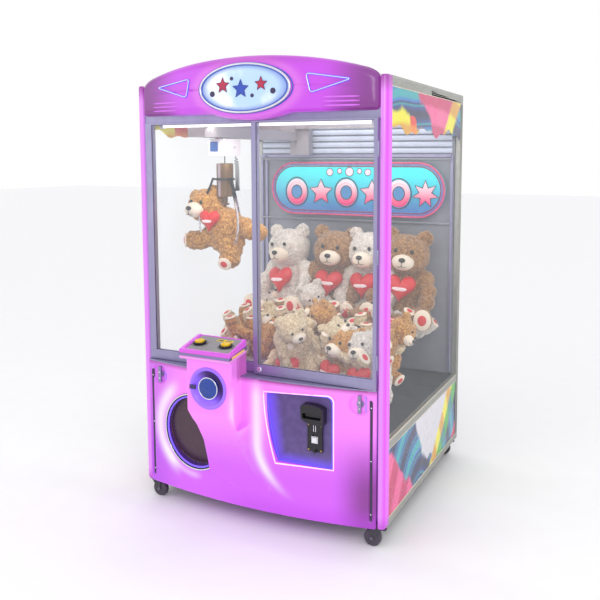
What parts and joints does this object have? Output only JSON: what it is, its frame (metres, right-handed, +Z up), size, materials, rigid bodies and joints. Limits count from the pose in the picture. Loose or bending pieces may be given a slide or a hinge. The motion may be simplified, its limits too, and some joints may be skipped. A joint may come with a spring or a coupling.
{
  "type": "claw crane machine",
  "caption": "Floor-standing claw crane machine with lit front, travelling claw, glazed prize space, console, prize chute and casters.",
  "frame": {"origin": "centre of the footprint box on the floor, under the cabinet", "axes": "+Z up, the player's side faces -Y, +X to the player's right"},
  "size_m": [1.22, 1.396, 2.048],
  "materials": {
    "glow_plastic": "translucent magenta moulding, satin gloss",
    "frame_aluminium": "satin anodised",
    "rail_aluminium": "ribbed extrusion, satin",
    "steel": "satin zinc",
    "dark_steel": "black powder coat",
    "chrome": "polished",
    "black_plastic": "fine texture",
    "grey_plastic": "satin",
    "yellow_plastic": "gloss",
    "white_plastic": "satin",
    "smoked_plastic": "smoked, gloss",
    "wheel_rubber": "grey tread",
    "clear_glass": "toughened, clear",
    "coin_plate_paint": "fine texture powder coat",
    "sign_print": "printed sheet",
    "side_print": "printed laminate",
    "carpet": "needle felt",
    "plush_cream": "long pile plush",
    "plush_golden": "long pile plush",
    "cord_black": "satin sheath",
    "solenoid_paint": "gloss bronze"
  },
  "bodies": {
    "cabinet": {"base_plate": "dark_steel", "front_frame": "frame_aluminium", "back_panel": "grey_plastic", "back_wall": "grey_plastic", "back_sign": "sign_print", "roof_panel": "rail_aluminium", "playfield_floor": "carpet", "chute_duct": "clear_glass", "light_post_left": "glow_plastic", "light_post_right": "glow_plastic", "side_frame_left": "rail_aluminium", "side_frame_right": "rail_aluminium", "side_panel_left": "side_print", "side_panel_right": "side_print", "side_glass_left": "clear_glass", "side_glass_right": "clear_glass", "window_frame_left": "frame_aluminium", "window_glass_left": "clear_glass", "gantry_frame": "steel", "marquee_shell": "glow_plastic", "marquee_face": "white_plastic", "prize_heap": "plush_cream"},
    "door": {"front_panel": "glow_plastic", "door_column": "glow_plastic", "door_sill": "frame_aluminium", "chute_bezel": "chrome", "column_dish": "chrome", "coin_plate": "coin_plate_paint", "reader_hood": "black_plastic", "coin_mech_plate": "black_plastic", "console_rim": "glow_plastic", "control_plate": "grey_plastic"},
    "flap": {"chute_flap": "smoked_plastic"},
    "latch_l": {"latch_left": "steel"},
    "latch_r": {"latch_right": "steel"},
    "button_l": {"button_left": "yellow_plastic"},
    "button_r": {"button_right": "yellow_plastic"},
    "reject": {"reject_button": "white_plastic"},
    "window": {"window_frame_right": "frame_aluminium", "window_glass_right": "clear_glass"},
    "lock": {"window_lock": "chrome"},
    "bridge": {"bridge_beam": "steel"},
    "trolley": {"trolley_box": "white_plastic"},
    "drum": {"winch_drum": "steel"},
    "claw_head": {"claw_solenoid": "solenoid_paint", "claw_crown": "black_plastic", "hoist_cord": "cord_black", "curly_cable": "cord_black", "held_bear": "plush_golden"},
    "prong_1": {"claw_prong_1": "chrome"},
    "prong_2": {"claw_prong_2": "chrome"},
    "prong_3": {"claw_prong_3": "chrome"},
    "caster_front_left": {"caster_fork_front_left": "dark_steel"},
    "wheel_front_left": {"caster_wheel_front_left": "wheel_rubber"},
    "caster_front_right": {"caster_fork_front_right": "dark_steel"},
    "wheel_front_right": {"caster_wheel_front_right": "wheel_rubber"},
    "caster_rear_left": {"caster_fork_rear_left": "dark_steel"},
    "wheel_rear_left": {"caster_wheel_rear_left": "wheel_rubber"},
    "caster_rear_right": {"caster_fork_rear_right": "dark_steel"},
    "wheel_rear_right": {"caster_wheel_rear_right": "wheel_rubber"}
  },
  "joints": [
    {"name": "door_tilt", "type": "hinge", "parent": "cabinet", "child": "door", "pos_m": [0, -0.434, 0.088], "axis": [1, 0, 0], "range_deg": [0, 35]},
    {"name": "flap_swing", "type": "hinge", "parent": "door", "child": "flap", "pos_m": [-0.289, -0.448, 0.529], "axis": [1, 0, 0], "range_deg": [0, 55]},
    {"name": "latch_left_turn", "type": "hinge", "parent": "door", "child": "latch_l", "pos_m": [-0.505, -0.452, 0.618], "axis": [0, 1, 0], "range_deg": [0, 90]},
    {"name": "latch_right_turn", "type": "hinge", "parent": "door", "child": "latch_r", "pos_m": [0.505, -0.452, 0.618], "axis": [0, 1, 0], "range_deg": [0, 90]},
    {"name": "button_left_press", "type": "slide", "parent": "door", "child": "button_l", "axis": [0, 0.0915, -0.9958], "range_m": [0, 0.004], "stiffness_N_per_m": 400, "springref_m": -0.002},
    {"name": "button_right_press", "type": "slide", "parent": "door", "child": "button_r", "axis": [0, 0.0915, -0.9958], "range_m": [0, 0.004], "stiffness_N_per_m": 400, "springref_m": -0.002},
    {"name": "reject_press", "type": "slide", "parent": "door", "child": "reject", "axis": [0, 1, 0], "range_m": [0, 0.003], "stiffness_N_per_m": 300, "springref_m": -0.001},
    {"name": "window_swing", "type": "hinge", "parent": "cabinet", "child": "window", "pos_m": [0.577, -0.456, 1.23], "axis": [0, 0, 1], "range_deg": [0, 100]},
    {"name": "lock_turn", "type": "hinge", "parent": "window", "child": "lock", "pos_m": [0.032, -0.456, 0.707], "axis": [0, 1, 0], "range_deg": [0, 90]},
    {"name": "bridge_travel", "type": "slide", "parent": "cabinet", "child": "bridge", "axis": [1, 0, 0], "range_m": [0, 0.68]},
    {"name": "trolley_travel", "type": "slide", "parent": "bridge", "child": "trolley", "axis": [0, 1, 0], "range_m": [-0.1, 0.4]},
    {"name": "hoist_lower", "type": "slide", "parent": "trolley", "child": "claw_head", "axis": [0, 0, -1], "range_m": [0, 0.2], "deforming": ["hoist_cord", "curly_cable"]},
    {"name": "winch_spin", "type": "hinge", "parent": "trolley", "child": "drum", "pos_m": [-0.3505, -0.097, 1.674], "axis": [1, 0, 0], "range_deg": [-550, 550]},
    {"name": "prong_1_open", "type": "hinge", "parent": "claw_head", "child": "prong_1", "pos_m": [-0.40023, -0.148, 1.522], "axis": [-0.5, 0.866, 0], "range_deg": [0, 20]},
    {"name": "prong_2_open", "type": "hinge", "parent": "claw_head", "child": "prong_2", "pos_m": [-0.29977, -0.148, 1.522], "axis": [-0.5, -0.866, 0], "range_deg": [0, 20]},
    {"name": "prong_3_open", "type": "hinge", "parent": "claw_head", "child": "prong_3", "pos_m": [-0.35, -0.061, 1.522], "axis": [1, 0, 0], "range_deg": [0, 20]},
    {"name": "caster_swivel_front_left", "type": "hinge", "parent": "cabinet", "child": "caster_front_left", "pos_m": [-0.572, -0.412, 0.08], "axis": [0, 0, 1], "continuous": true},
    {"name": "wheel_roll_front_left", "type": "hinge", "parent": "caster_front_left", "child": "wheel_front_left", "pos_m": [-0.55, -0.412, 0.0375], "axis": [0, 1, 0], "continuous": true},
    {"name": "caster_swivel_front_right", "type": "hinge", "parent": "cabinet", "child": "caster_front_right", "pos_m": [0.572, -0.412, 0.08], "axis": [0, 0, 1], "continuous": true},
    {"name": "wheel_roll_front_right", "type": "hinge", "parent": "caster_front_right", "child": "wheel_front_right", "pos_m": [0.55, -0.412, 0.0375], "axis": [0, 1, 0], "continuous": true},
    {"name": "caster_swivel_rear_left", "type": "hinge", "parent": "cabinet", "child": "caster_rear_left", "pos_m": [-0.572, 0.65, 0.08], "axis": [0, 0, 1], "continuous": true},
    {"name": "wheel_roll_rear_left", "type": "hinge", "parent": "caster_rear_left", "child": "wheel_rear_left", "pos_m": [-0.55, 0.65, 0.0375], "axis": [0, 1, 0], "continuous": true},
    {"name": "caster_swivel_rear_right", "type": "hinge", "parent": "cabinet", "child": "caster_rear_right", "pos_m": [0.572, 0.65, 0.08], "axis": [0, 0, 1], "continuous": true},
    {"name": "wheel_roll_rear_right", "type": "hinge", "parent": "caster_rear_right", "child": "wheel_rear_right", "pos_m": [0.55, 0.65, 0.0375], "axis": [0, 1, 0], "continuous": true}
  ],
  "couplings": [
    {"joint": "winch_spin", "follows": "hoist_lower", "rad_per_m": 46.5},
    {"joint": "prong_2_open", "follows": "prong_1_open", "ratio": 1},
    {"joint": "prong_3_open", "follows": "prong_1_open", "ratio": 1}
  ]
}
